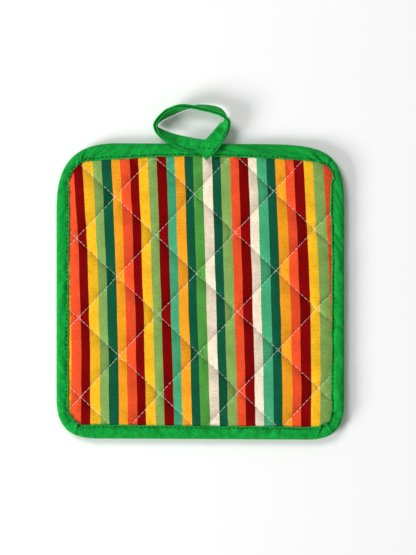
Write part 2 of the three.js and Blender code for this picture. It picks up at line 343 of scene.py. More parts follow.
# --------------------------------------------------------------------------------------------- finishes
class NodeBoard:
    """A material's node tree, with short ways to add nodes to it."""

    def __init__(self, name: str) -> None:
        """Starts a material with only its output and its shader.

        Args:
            name: the material's name.
        """
        self.material = bpy.data.materials.new(name)
        self.material.use_nodes = True
        self.tree = self.material.node_tree
        self.tree.nodes.clear()
        self.shader = self.tree.nodes.new("ShaderNodeBsdfPrincipled")
        output = self.tree.nodes.new("ShaderNodeOutputMaterial")
        self.tree.links.new(self.shader.outputs["BSDF"], output.inputs["Surface"])

    def join(self, source: object, socket: bpy.types.NodeSocket) -> None:
        """Feeds a socket from another socket, or sets it to a plain value."""
        if isinstance(source, bpy.types.NodeSocket):
            self.tree.links.new(source, socket)
        else:
            socket.default_value = source

    def node(self, kind: str, **inputs: object) -> bpy.types.Node:
        """Adds a node and feeds its inputs, each given by its name with _ for a space.

        Args:
            kind: the node's type, after ShaderNode.
            inputs: sockets or plain values.

        Returns:
            The node.
        """
        node = self.tree.nodes.new("ShaderNode" + kind)
        for name, value in inputs.items():
            self.join(value, node.inputs[name.replace("_", " ")])
        return node

    def maths(self, operation: str, *values: object) -> bpy.types.NodeSocket:
        """One sum on numbers, each a socket or a plain value.

        Args:
            operation: what is worked out.
            values: the numbers.

        Returns:
            The result's socket.
        """
        node = self.node("Math")
        node.operation = operation
        for socket, value in zip(node.inputs, values):
            self.join(value, socket)
        return node.outputs[0]

    def cloth(self, scale: float = 1.0, turn: float = 0.0) -> bpy.types.NodeSocket:
        """The cloth's own coordinates, in millimetres times scale, turned by an angle in radians.

        Args:
            scale: units in one millimetre.
            turn: the angle.

        Returns:
            The coordinates' socket.
        """
        source = self.node("UVMap")
        source.uv_map = CLOTH_UV
        scales = (UV_SPAN * scale,) * 3
        return self.node("Mapping", Vector=source.outputs[0], Scale=scales, Rotation=(0, 0, turn)).outputs[0]

    def place(self, scale: float = 1.0) -> bpy.types.NodeSocket:
        """The object's coordinates, in millimetres times scale."""
        source = self.node("TexCoord").outputs["Object"]
        return self.node("Mapping", Vector=source, Scale=(scale / MM,) * 3).outputs[0]

    def mottle(
        self, at: bpy.types.NodeSocket, detail: float, low: float, high: float
    ) -> bpy.types.NodeSocket:
        """Soft noise about one unit across, which stays mostly between low and high.

        Args:
            at: the coordinates it is read at.
            detail: how many finer layers it has.
            low, high: what its usual lowest and highest, 0.3 and 0.7, are stretched to.

        Returns:
            The value's socket.
        """
        value = self.node("TexNoise", Vector=at, Scale=1.0, Detail=detail).outputs["Fac"]
        stretch = self.node("MapRange", Value=value, From_Min=0.3, From_Max=0.7, To_Min=low, To_Max=high)
        return stretch.outputs[0]

    def weave(
        self, thread: float, turn: float, wobble: float, slubs: bpy.types.NodeSocket
    ) -> bpy.types.NodeSocket:
        """The height of a plain weave.

        Args:
            thread: spacing of its threads, in millimetres.
            turn: the angle they run at, in radians.
            wobble: how unevenly they run.
            slubs: the thick spots in them.

        Returns:
            The height's socket.
        """
        ribs = []
        for across in "XY":
            at = self.cloth(1 / thread, turn)
            node = self.node("TexWave", Vector=at, Scale=1 / 3.3, Distortion=wobble, Detail=1.0)
            node.bands_direction = across
            ribs.append(node.outputs["Fac"])
        return self.maths("ADD", self.maths("MULTIPLY", *ribs), self.maths("MULTIPLY", slubs, 0.8))

    def tint(self, colour: object, value: bpy.types.NodeSocket) -> bpy.types.NodeSocket:
        """A colour made lighter or darker by a value about 1."""
        return self.node("HueSaturation", Value=value, Color=colour).outputs[0]

    def ramp(self, value: bpy.types.NodeSocket, colours: Sequence[Colour]) -> bpy.types.NodeSocket:
        """Bands of plain colour, all as wide, in the order given.

        Args:
            value: where the colour is read, from 0 to 1.
            colours: the bands.

        Returns:
            The colour's socket.
        """
        node = self.node("ValToRGB")
        node.color_ramp.interpolation = "CONSTANT"
        stops = node.color_ramp.elements
        while len(stops) < len(colours):
            stops.new(1.0)
        for k, colour in enumerate(colours):
            stops[k].position = k / len(colours)
            stops[k].color = (*colour, 1.0)
        self.join(value, node.inputs[0])
        return node.outputs[0]

    def emboss(self, height: bpy.types.NodeSocket, depth: float) -> None:
        """Raises the surface by height, from 0 to 1, times depth in millimetres.

        Args:
            height: the pattern's height.
            depth: the height that 1 stands for.
        """
        node = self.node("Bump", Height=height, Distance=depth * MM, Strength=1.0)
        self.join(node.outputs[0], self.shader.inputs["Normal"])

    def surface(self, colour: object, roughness: object, sheen: float) -> None:
        """Sets the shader's colour, roughness and the soft sheen of its fibres.

        Args:
            colour: a socket.
            roughness: a socket or a value.
            sheen: how strong the sheen is.
        """
        self.join(colour, self.shader.inputs["Base Color"])
        self.join(roughness, self.shader.inputs["Roughness"])
        self.shader.inputs["Sheen Weight"].default_value = sheen
        self.shader.inputs["Sheen Roughness"].default_value = 0.5
        self.shader.inputs["Specular IOR Level"].default_value = 0.05


class Dye(Enum):
    """The colours printed on the covers."""

    AMBER = from_srgb(246, 160, 34)
    CORAL = from_srgb(240, 82, 42)
    MAROON = from_srgb(128, 2, 4)
    YELLOW = from_srgb(244, 184, 34)
    LEAF = from_srgb(130, 166, 86)
    FIR = from_srgb(14, 86, 58)
    MINT = from_srgb(66, 165, 116)
    GRASS = from_srgb(82, 156, 64)
    CREAM = from_srgb(240, 224, 198)


STRIPES = [
    Dye.AMBER, Dye.CORAL, Dye.MAROON, Dye.YELLOW, Dye.LEAF, Dye.FIR, Dye.AMBER, Dye.CORAL, Dye.MAROON,
    Dye.YELLOW, Dye.LEAF, Dye.MAROON, Dye.MINT, Dye.AMBER, Dye.FIR, Dye.GRASS, Dye.CREAM, Dye.FIR,
    Dye.LEAF, Dye.CORAL, Dye.MAROON, Dye.CREAM, Dye.MINT, Dye.FIR, Dye.AMBER, Dye.CORAL, Dye.MAROON,
    Dye.YELLOW, Dye.LEAF, Dye.CORAL,
]  # fmt: skip


@dataclass(frozen=True)
class PrintedCotton:
    """Plain-weave cotton printed with upright stripes, all as wide.

    Attributes:
        pitch: width of a stripe, in millimetres.
        start: where the first stripe's left edge crosses the middle of the pad.
        lean: how far a stripe moves to the right for each millimetre down.
        thread: spacing of the weave's threads.
    """

    pitch: float = 6.46
    start: float = -99.54
    lean: float = 0.03
    thread: float = 0.42

    def material(self, name: str) -> bpy.types.Material:
        """Makes the finish under a name."""
        board = NodeBoard(name)
        split = board.node("SeparateXYZ", Vector=board.cloth())
        drift = board.mottle(board.cloth(1 / 34), 1.0, -0.2, 0.2)
        fuzz = board.mottle(board.cloth(1 / 0.9), 1.0, -0.05, 0.05)
        across = board.maths("MULTIPLY_ADD", split.outputs["Y"], self.lean, split.outputs["X"])
        across = board.maths("ADD", board.maths("ADD", across, drift), fuzz)
        share = board.maths("DIVIDE", board.maths("SUBTRACT", across, self.start), self.pitch * len(STRIPES))
        dyed = board.ramp(share, [stripe.value for stripe in STRIPES])
        slubs = board.mottle(board.cloth(1 / 1.2), 4.0, 0.84, 1.16)
        # broad patches of tone that differ at random in the printed cotton
        tone_and_sheen = board.mottle(board.cloth(1 / 9), 4.0, 0.88, 1.1)
        colour = board.tint(dyed, board.maths("MULTIPLY", slubs, tone_and_sheen))
        board.surface(colour, 0.85, 0.0)
        board.emboss(board.weave(self.thread, 0.0, 0.6, slubs), 0.08)
        return board.material


@dataclass(frozen=True)
class Tape:
    """Cotton tape cut on the slant of its weave.

    Attributes:
        colour: the tape's colour.
        thread: spacing of the weave's threads, in millimetres.
    """

    colour: Colour = from_srgb(16, 160, 60)
    thread: float = 0.36

    def material(self, name: str) -> bpy.types.Material:
        """Makes the finish under a name."""
        board = NodeBoard(name)
        slubs = board.mottle(board.cloth(1 / 1.2), 4.0, 0.76, 1.24)
        # painted sheen: broad brighter and darker patches in the tape's colour stand in for its soft sheen
        tone_and_sheen = board.mottle(board.cloth(1 / 5), 4.0, 0.76, 1.2)
        colour = board.tint((*self.colour, 1.0), board.maths("MULTIPLY", slubs, tone_and_sheen))
        board.surface(colour, 0.8, 0.05)
        board.emboss(board.weave(self.thread, math.pi / 4, 0.5, slubs), 0.1)
        return board.material


@dataclass(frozen=True)
class Thread:
    """Twisted sewing thread.

    Attributes:
        colour: the colour the thread is given; the green thread is darker than its own green, as painted
            shade.
    """

    colour: Colour

    def material(self, name: str) -> bpy.types.Material:
        """Makes the finish under a name."""
        board = NodeBoard(name)
        fibres = board.mottle(board.place(1 / 0.35), 3.0, 0.85, 1.12)
        board.surface(board.tint((*self.colour, 1.0), fibres), 0.6, 0.2)
        board.emboss(fibres, 0.05)
        return board.material


@dataclass(frozen=True)
class Fibre:
    """Loose white wadding."""

    colour: Colour = from_srgb(241, 239, 232)

    def material(self, name: str) -> bpy.types.Material:
        """Makes the finish under a name."""
        board = NodeBoard(name)
        strands = board.mottle(board.place(1 / 1.6), 8.0, 0.8, 1.1)
        board.surface(board.tint((*self.colour, 1.0), strands), 0.95, 0.3)
        board.emboss(strands, 0.5)
        return board.material


@dataclass(frozen=True)
class Finishes:
    """Every material of the pot holder, each made once.

    Attributes:
        cotton: the covers' printed cotton.
        tape: the binding's and the loop's tape.
        wadding: the filling.
        white_thread: the quilting's thread.
        green_thread: the binding's and the loop's thread.
    """

    cotton: bpy.types.Material
    tape: bpy.types.Material
    wadding: bpy.types.Material
    white_thread: bpy.types.Material
    green_thread: bpy.types.Material

    @classmethod
    def mixed(cls) -> "Finishes":
        """The finishes with their usual settings."""
        return cls(
            cotton=PrintedCotton().material("printed_cotton"),
            tape=Tape().material("cotton_tape"),
            wadding=Fibre().material("white_wadding"),
            white_thread=Thread(from_srgb(243, 238, 226)).material("white_sewing_thread"),
            # painted shade: the green thread is darkened past its own dark green to stand for the shade in
            # the grooves its stitches sit in
            green_thread=Thread(from_srgb(2, 44, 16)).material("green_sewing_thread"),
        )


# --------------------------------------------------------------------------------------- the pad's shape
@dataclass(frozen=True)
class Corner:
    """One rounded corner of an outline.

    Attributes:
        at: the point its two sides would meet at, in millimetres from the pad's middle.
        reach: how far it runs along the top or bottom edge and along the side.
        pull: how squarely its two handles pull it out towards that point.
    """

    at: tuple[float, float]
    reach: tuple[float, float]
    pull: tuple[float, float]

    def curve(self, steps: int) -> Array:
        """The corner's points, anticlockwise, with steps pieces between them."""
        at, reach, pull = np.array(self.at), np.array(self.reach), np.array(self.pull)
        side = np.sign(at)
        along_edge, along_side = np.array([side[0], 0.0]), np.array([0.0, side[1]])
        handles = np.array(
            [
                at - along_edge * reach[0],
                at - along_edge * reach[0] * (1 - pull[0]),
                at - along_side * reach[1] * (1 - pull[1]),
                at - along_side * reach[1],
            ]
        )
        if side[0] == side[1]:
            handles = handles[::-1]
        t = np.linspace(0, 1, steps + 1)[:, None]
        weights = ((1 - t) ** 3, 3 * t * (1 - t) ** 2, 3 * t**2 * (1 - t), t**3)
        return sum(w * h for w, h in zip(weights, handles))


@dataclass(frozen=True)
class PadShape:
    """The pad's two outlines, outside and inside the visible binding, and the heights of its layers.

    Attributes:
        width, height: the pad's size, in millimetres.
        binding: how much of the binding shows on the front.
        middle: height of the middle of the pad's thickness above the floor.
        flange: height of the front cover where the binding pinches it.
        seam: height of the front cover along a quilting seam.
        bow: how much wider the field is over the middle of the top edge.
        corner_steps, side_steps: pieces in each corner and each straight side.
        outer, inner: the corners of each outline, anticlockwise from the bottom right.
    """

    width: float = 200.0
    height: float = 206.0
    binding: float = 9.4
    middle: float = 4.0
    flange: float = 5.75
    seam: float = 5.15
    bow: float = 3.2
    corner_steps: int = 64
    side_steps: int = 150
    outer: tuple[Corner, ...] = (
        Corner((100, -103), (25, 26), (0.7, 0.7)),
        Corner((100, 102.5), (68, 43), (0.79, 0.96)),
        Corner((-100, 103), (42, 45), (0.7, 0.7)),
        Corner((-100, -102.2), (28, 28), (0.7, 0.7)),
    )
    inner: tuple[Corner, ...] = (
        Corner((90.6, -94), (9, 11), (0.65, 0.65)),
        Corner((91.4, 90.4), (14, 9), (0.5, 0.5)),
        Corner((-91, 90.4), (13, 16), (0.5, 0.5)),
        Corner((-91.6, -92.4), (11, 10), (0.4, 0.4)),
    )

    def _outline(self, corners: Sequence[Corner], bow: float) -> Array:
        """The points of one outline, anticlockwise from the bottom right corner.

        Args:
            corners: its corners, in the same order.
            bow: how far its top edge bows up.

        Returns:
            The points.
        """
        turns = [corner.curve(self.corner_steps) for corner in corners]
        points = []
        for k, turn in enumerate(turns):
            start, end = turn[-1], turns[(k + 1) % 4][0]
            t = np.linspace(0, 1, self.side_steps + 1)[1:-1, None]
            straight = start + (end - start) * t
            if k == 1:
                straight[:, 1] += (4 * bow * t * (1 - t))[:, 0]
            points += [turn, straight]
        return np.vstack(points)

    def ring(self, share: float) -> Array:
        """The outline a share of the way across the binding.

        Args:
            share: 0 at the outer edge, 1 at the inner edge, more than 1 on the field.

        Returns:
            The outline's points, as many for any share.
        """
        outer = self._outline(self.outer, 0)
        inner = self._outline(self.inner, self.bow)
        if share <= 1:
            return outer + (inner - outer) * share
        return inner * (1 - (share - 1) * self.binding / (self.width / 2))


@dataclass(frozen=True)
class Quilting:
    """The two sets of slanting seams, as distances along the pattern's own level line.

    Attributes:
        rising_start, rising_step: where the first seam that rises to the right crosses, and the step
            to the next.
        falling_start, falling_step: the same for the seams that fall to the right.
        count: how many seams each set has.
        turn: how far the pattern sits askew on the pad, in radians.
    """

    rising_start: float = -124.6
    rising_step: float = 54.9
    falling_start: float = -156.2
    falling_step: float = 55.5
    count: int = 6
    turn: float = math.radians(1.8)

    def on_pad(self, points: Array) -> Array:
        """Turns points of the level pattern to where they lie on the pad."""
        cos, sin = math.cos(self.turn), math.sin(self.turn)
        return points @ np.array([[cos, sin], [-sin, cos]])

    def lines(self) -> list[tuple[Array, Array]]:
        """Each seam as a point on it and the way it runs."""
        found = []
        for k in range(self.count):
            for start, step, rise in (
                (self.rising_start, self.rising_step, 1),
                (self.falling_start, self.falling_step, -1),
            ):
                through = self.on_pad(np.array([start + k * step, 0.0]))
                found.append((through, self.on_pad(np.array([1.0, rise]) / math.sqrt(2))))
        return found

    def cells(self, points: Array) -> tuple[Array, Array]:
        """How far through its diamond each point lies, both ways, from 0 at one seam to 1 at the next."""
        level = points @ np.linalg.inv(self.on_pad(np.eye(2)))
        rising = (level[:, 0] - level[:, 1] - self.rising_start) / self.rising_step
        falling = (level[:, 0] + level[:, 1] - self.falling_start) / self.falling_step
        return rising % 1, falling % 1


# ------------------------------------------------------------------------------------------------ sewing
@dataclass(frozen=True)
class StitchStyle:
    """The size of one stitch.

    Attributes:
        pitch: from the start of one stitch to the start of the next, in millimetres.
        length: how much of that shows.
        width, height: the thread's thickness across and up from the cloth.
        jitter: how far a stitch may sit from its line.
    """

    pitch: float
    length: float
    width: float
    height: float
    jitter: float = 0.05


def read_off(lengths: Array, along: Array, values: Array) -> Array:
    """Values given along a line, one row for each length in along, read off at other lengths."""
    return np.column_stack([np.interp(lengths, along, column) for column in values.T])


def one_stitch(style: StitchStyle) -> tuple[Array, list[tuple[int, ...]]]:
    """Models one stitch, lying along X with its middle at the origin.

    Args:
        style: its size.

    Returns:
        Its vertices and its faces.
    """
    deselect_all()
    bpy.ops.mesh.primitive_uv_sphere_add(segments=8, ring_count=6, radius=0.5, rotation=(0, math.pi / 2, 0))
    obj = bpy.context.object
    bpy.ops.object.transform_apply(rotation=True)
    bpy.ops.object.mode_set(mode="EDIT")
    bpy.ops.transform.resize(value=(style.length, style.width, style.height))
    bpy.ops.object.mode_set(mode="OBJECT")
    places = vertices_of(obj)
    ends = np.abs(places[:, 0]) / (style.length / 2)
    places[:, 0] *= 1 + 0.12 * (1 - ends)  # fuller than an egg, as a length of cord is
    places[:, 2] -= style.height * 0.3 * ends**4  # both ends dip into their holes
    faces = [tuple(face.vertices) for face in obj.data.polygons]
    bpy.data.objects.remove(obj)
    return places, faces


def sew(name: str, runs: Sequence[tuple[Array, Array]], style: StitchStyle, seed: int) -> bpy.types.Object:
    """Sews rows of stitches.

    Args:
        name: what the rows are called.
        runs: for each row, the points it follows and the way out of the cloth at each of them.
        style: the size of a stitch.
        seed: sets where each stitch strays to.

    Returns:
        One mesh with every stitch.
    """
    stitch, faces = one_stitch(style)
    rng = np.random.default_rng(seed)
    places, all_faces = [], []
    for points, outs in runs:
        along = lengths_along(points)
        count = max(1, int(along[-1] / style.pitch))
        middles = (np.arange(count) + 0.5) * along[-1] / count
        at, out = read_off(middles, along, points), read_off(middles, along, outs)
        forward = read_off(middles + 0.6, along, points) - read_off(middles - 0.6, along, points)
        forward /= np.linalg.norm(forward, axis=1)[:, None]
        aside = np.cross(out, forward)
        aside /= np.linalg.norm(aside, axis=1)[:, None]
        up = np.cross(forward, aside)
        stray = rng.normal(0, style.jitter, (count, 1))
        slant = rng.normal(0, 0.04, (count, 1))
        forward = forward + aside * slant
        at = at + aside * stray
        for k in range(count):
            start = len(places) * len(stitch)
            places.append(at[k] + stitch @ np.array([forward[k], aside[k], up[k]]))
            all_faces += [tuple(v + start for v in face) for face in faces]
    mesh = bpy.data.meshes.new(name)
    mesh.from_pydata(np.vstack(places).tolist(), [], all_faces)
    obj = add_object(name, mesh)
    smooth(obj)
    return obj


# ------------------------------------------------------------------------------------------------ pieces
class Side(Enum):
    """The two sides of the pad, with the name and the way out of each."""

    FRONT = ("front", 1.0)
    BACK = ("back", -1.0)

    @property
    def word(self) -> str:
        """The side's name."""
        return self.value[0]

    @property
    def out(self) -> float:
        """+1 where the side looks up, and -1 where it looks down at the floor."""
        return self.value[1]

    def ways_out(self, count: int) -> Array:
        """The way out of the side, once for each of a number of points."""
        return np.tile([0.0, 0.0, self.out], (count, 1))

    def nodes(self, piece: str) -> tuple[str, str]:
        """The CAD's names for the lower and upper part of one of the side's pieces."""
        return f"{self.word}_{piece}_lower", f"{self.word}_{piece}_upper"


@dataclass
class Hinges:
    """The pad's fold line and the line where the loop is sewn on, and how each piece is dressed and put into
    the frame.

    Attributes:
        place: where the pad lies.
        pad_reach: a stretch before and after the fold line, in millimetres.
        pad_height: height of that line.
        loop_line: how far up the pad the loop's hinge line is, from the middle.
        loop_reach: a stretch of tape before and after that line.
        loop_height: height of that line.
    """

    place: Place
    pad_reach: tuple[float, float] = (-12.0, 12.0)
    pad_height: float = 8.0
    loop_line: float = 103.0
    loop_reach: tuple[float, float] = (-1.0, 5.0)
    loop_height: float = 12.3

    def _dress(self, obj: bpy.types.Object, finish: bpy.types.Material) -> None:
        """Gives a piece its material and puts it into the frame."""
        obj.data.materials.append(finish)
        self.place.settle(obj)

    def across_pad(self, obj: bpy.types.Object, finish: bpy.types.Material) -> None:
        """Dresses a piece and puts it into the frame, with its transform baked into its mesh."""
        self._dress(obj, finish)
        start, end = (self.place.point(0, y, self.pad_height) for y in self.pad_reach)
        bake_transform(obj)

    def at_loop(self, obj: bpy.types.Object, finish: bpy.types.Material) -> None:
        """Dresses a piece and puts it into the frame, with its transform baked into its mesh."""
        self._dress(obj, finish)
        start, end = (self.place.point(0, self.loop_line + y, self.loop_height) for y in self.loop_reach)
        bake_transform(obj)

    def with_pad(self, obj: bpy.types.Object, finish: bpy.types.Material) -> None:
        """Dresses a piece and fixes it to the pad's upper half."""
        self._dress(obj, finish)
        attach(obj, "upper_half")


@dataclass
class Tuck:
    """A small fold in a cover, running in from the binding.

    Attributes:
        at: where its middle is, in the pad's millimetres.
        along: the angle of its run from +X, in degrees.
        length, width, height: its size.
    """

    at: tuple[float, float]
    along: float
    length: float
    width: float
    height: float

    def lift(self, points: Array) -> Array:
        """How far the tuck lifts each point of the cover.

        Args:
            points: their flat places.

        Returns:
            One height for each point.
        """
        angle = math.radians(self.along)
        run = np.array([math.cos(angle), math.sin(angle)])
        off = points - np.array(self.at)
        along, across = off @ run, off @ np.array([-run[1], run[0]])
        return self.height * bump_at(along, self.length / 2) * bump_at(across, self.width / 2)


@dataclass
class QuiltedPad:
    """The two covers, the wadding between them and the quilting stitches.

    Attributes:
        shape: the pad's outlines and heights.
        quilting: its seams.
        hinges: how the layers are dressed and put into the frame.
        cells: squares of cloth between two neighbouring seams.
        crowding: how much closer together they are beside a seam, from 0 to 1.
        cover: thickness of a cover, in millimetres.
        crown: how high the front may swell above the seams.
        pressed_crown: the same for the back, which lies on the floor.
        fullness: less than 1 makes the swelling start more steeply at a seam.
        ease: share by which the cloth is larger than the seams leave room for.
        pressure: how hard the wadding pushes.
        frames: how many steps the swelling takes.
        gap: room between the wadding and each cover.
        stitches: the stitches of the quilting.
        thread_lies: how high the thread lies above the cover.
        tucks: folds in the front cover.
    """

    shape: PadShape
    quilting: Quilting
    hinges: Hinges
    cells: int = 30
    crowding: float = 0.62
    cover: float = 0.5
    crown: float = 5.0
    pressed_crown: float = 2.3
    fullness: float = 0.72
    ease: float = 0.012
    pressure: float = 6.5
    frames: int = 24
    gap: float = 0.15
    stitches: StitchStyle = StitchStyle(pitch=3.1, length=3.05, width=0.3, height=0.3)
    thread_lies: float = 0.06
    tucks: tuple[Tuck, ...] = (
        Tuck((-73.0, 88.0), 96, 16, 2.4, 1.1),
        Tuck((-69.0, 90.0), 84, 10, 2.0, 0.8),
        Tuck((82.0, -88.0), 130, 12, 3.0, 0.8),
        Tuck((-86.0, -82.0), 50, 9, 2.6, 0.6),
        Tuck((84.0, 78.0), 60, 10, 2.6, 0.6),
    )

    def seam_height(self, points: Array, side: Side) -> Array:
        """How high a cover lies at its seams and under the binding, at each point.

        Args:
            points: their flat places.
            side: which cover.

        Returns:
            One height above the floor for each point.
        """
        inner = self.shape.ring(1.0)
        depth = np.where(inside(points, inner), distance_to(points, inner[::6]), 0)
        up = self.shape.flange + (self.shape.seam - self.shape.flange) * smoothstep(0, 14, depth)
        return self.shape.middle + side.out * (up - self.shape.middle)

    def _cut_cover(self, side: Side) -> tuple[bpy.types.Object, Array, Array]:
        """Cuts a cover on the slant, with a row of vertices along every seam.

        Returns:
            The mesh, its vertices' flat places, and which of them are held by thread or binding.
        """
        q, n = self.quilting, self.cells
        steps = q.count + 1
        obj, share = cut_cloth(f"{side.word}_cover", steps * n, steps * n)
        column, row = np.rint(share * steps * n).astype(int).T
        rising = q.rising_start + (self._crowded(column / n) - 1) * q.rising_step
        falling = q.falling_start + (self._crowded(row / n) - 1) * q.falling_step
        flat = q.on_pad(np.column_stack([(falling + rising) / 2, (falling - rising) / 2]))
        kept = inside(flat, self.shape.ring(0.45))
        on_seam = (column % n == 0) | (row % n == 0)
        held = on_seam | ~inside(flat, self.shape.ring(0.97))
        places = np.column_stack([flat, self.seam_height(flat, side)])
        move_vertices(obj, places)
        keep_only(obj, kept)
        return obj, flat[kept], held[kept]

    def _crowded(self, count: Array) -> Array:
        """Moves even steps, one unit from seam to seam, closer together beside every seam."""
        return count - self.crowding * np.sin(2 * np.pi * count) / (2 * np.pi)

    def _swell(self, obj: bpy.types.Object, held: Array) -> None:
        """Lets the wadding's push swell the cloth between the threads that hold it.

        Args:
            obj: the cover, as cut.
            held: which of its vertices are held.
        """
        room = 0.01  # the cloth is worked at ten times its size, where the solver is steady
        obj.data.transform(Matrix.Scale(room, 4))
        group = obj.vertex_groups.new(name="held")
        group.add(np.flatnonzero(held).tolist(), 1.0, "REPLACE")
        take(obj)
        cloth = obj.modifiers.new("Cloth", "CLOTH")
        settings = cloth.settings
        settings.vertex_group_mass = group.name
        settings.quality = 6
        settings.mass = 0.3
        settings.air_damping = 4
        settings.tension_stiffness = settings.compression_stiffness = 40
        settings.shear_stiffness = 8
        settings.bending_stiffness = 1.2
        settings.use_pressure = True
        settings.uniform_pressure_force = self.pressure
        settings.shrink_min = -self.ease
        settings.effector_weights.gravity = 0
        cloth.collision_settings.use_collision = False
        cloth.point_cache.frame_start = 1
        cloth.point_cache.frame_end = self.frames
        for number in range(1, self.frames + 1):
            bpy.context.scene.frame_set(number)
        bpy.ops.object.modifier_apply(modifier=cloth.name)
        bpy.context.scene.frame_set(1)
        obj.vertex_groups.clear()
        obj.data.transform(Matrix.Scale(1 / room, 4))

    def _build_cover(self, side: Side) -> tuple[bpy.types.Object, Array]:
        """Cuts a cover, swells it and limits it to the wadding's loft.

        Returns:
            The mesh before it is thickened and its vertices' places.
        """
        obj, flat, held = self._cut_cover(side)
        if side.out < 0:
            turn_faces(obj)
        base = vertices_of(obj)[:, 2]
        self._swell(obj, held)
        depth = (vertices_of(obj)[:, 2] - base) * side.out
        LOG.info("%s swelled by %.2f mm at most", obj.name, depth.max())
        crown = self.crown if side is Side.FRONT else self.pressed_crown
        loft = crown * (1 + 0.08 * waver(flat, 45, 3.0 * side.out))
        places = vertices_of(obj)
        share = np.tanh(np.maximum(depth, 0) / loft)
        swell = loft * share**self.fullness
        if side is Side.FRONT:
            free = smoothstep(0.0, 5.0, distance_to(flat, self.shape.ring(1.0)[::6]))
            swell = swell + sum(tuck.lift(flat) for tuck in self.tucks) * (0.35 + 0.65 * free) * (~held)
        places[:, 2] = base + side.out * swell
        move_vertices(obj, places)
        lay_cloth_uv(obj, self._print_lies(flat))
        return obj, places

    def _print_lies(self, flat: Array) -> Array:
        """Where each point of a cover lies on the printed cloth, which sewing pulled a little out of true."""
        u, v = flat.T
        pulled = -0.03 * u + 3.2e-6 * u**3 + 2.5e-4 * u**2 * (1 - (v / 85) ** 2)
        return np.column_stack([u - pulled, v])

    def _build_wadding(self, places: dict[Side, Array]) -> bpy.types.Object:
        """Fills the room between the covers with one closed body of wadding.

        Args:
            places: the vertices' places of both covers.

        Returns:
            The wadding.
        """
        front, _, _ = self._cut_cover(Side.FRONT)
        faces = [tuple(face.vertices) for face in front.data.polygons]
        bpy.data.objects.remove(front)
        inset = self.cover + self.gap
        top, bottom = places[Side.FRONT].copy(), places[Side.BACK].copy()
        top[:, 2] -= inset
        bottom[:, 2] += inset
        count = len(top)
        mesh = bpy.data.meshes.new("wadding")
        under = [tuple(v + count for v in face[::-1]) for face in faces]
        mesh.from_pydata(np.vstack([top, bottom]).tolist(), [], faces + under)
        obj = add_object("wadding", mesh)
        take(obj)
        bpy.ops.object.mode_set(mode="EDIT")
        bpy.ops.mesh.select_all(action="DESELECT")
        bpy.ops.mesh.select_mode(type="EDGE")
        bpy.ops.mesh.select_non_manifold()
        bpy.ops.mesh.bridge_edge_loops()
        bpy.ops.mesh.select_all(action="SELECT")
        bpy.ops.mesh.normals_make_consistent(inside=False)
        bpy.ops.object.mode_set(mode="OBJECT")
        smooth(obj)
        return obj

    def _quilt(self, side: Side) -> bpy.types.Object:
        """Sews the quilting on one side."""
        inner = self.shape.ring(1.0)
        runs = []
        for through, way in self.quilting.lines():
            line = through + np.arange(-260, 260, 0.5)[:, None] * way
            line = line[inside(line, inner)]
            if len(line) < 12:  # it passes the pad, or only just clips a corner
                continue
            height = self.seam_height(line, side) + side.out * self.thread_lies
            runs.append((np.column_stack([line, height]), side.ways_out(len(line))))
        return sew(f"{side.word}_quilting_stitches", runs, self.stitches, seed=11 + int(side.out))

    def build(self, finishes: Finishes) -> None:
        """Makes and dresses every piece of the quilted body and puts it into the frame.

        Args:
            finishes: every material.
        """
        covers, places = {}, {}
        for side in Side:
            covers[side], places[side] = self._build_cover(side)
        body = self._build_wadding(places)
        self.hinges.across_pad(body, finishes.wadding)
        label(body, "wadding", "wadding_lower", "wadding_upper")
        for side, obj in covers.items():
            thicken(obj, self.cover)
            smooth(obj)
            self.hinges.across_pad(obj, finishes.cotton)
            label(obj, "striped_cotton", *side.nodes("cover"))
            stitches = self._quilt(side)
            self.hinges.across_pad(stitches, finishes.white_thread)
            label(stitches, "white_thread", *side.nodes("quilting_thread"))


@dataclass
class Gather:
    """A spot where the binding bunches up at a corner.

    Attributes:
        at: where it is, in the pad's millimetres.
        radius: how far it spreads.
        lift: how much it raises the tape.
        push: how far, as a share of the binding's width, it pushes the inner edge over the field.
        crease: depth of the dark fold in its middle.
    """

    at: tuple[float, float]
    radius: float
    lift: float
    push: float
    crease: float


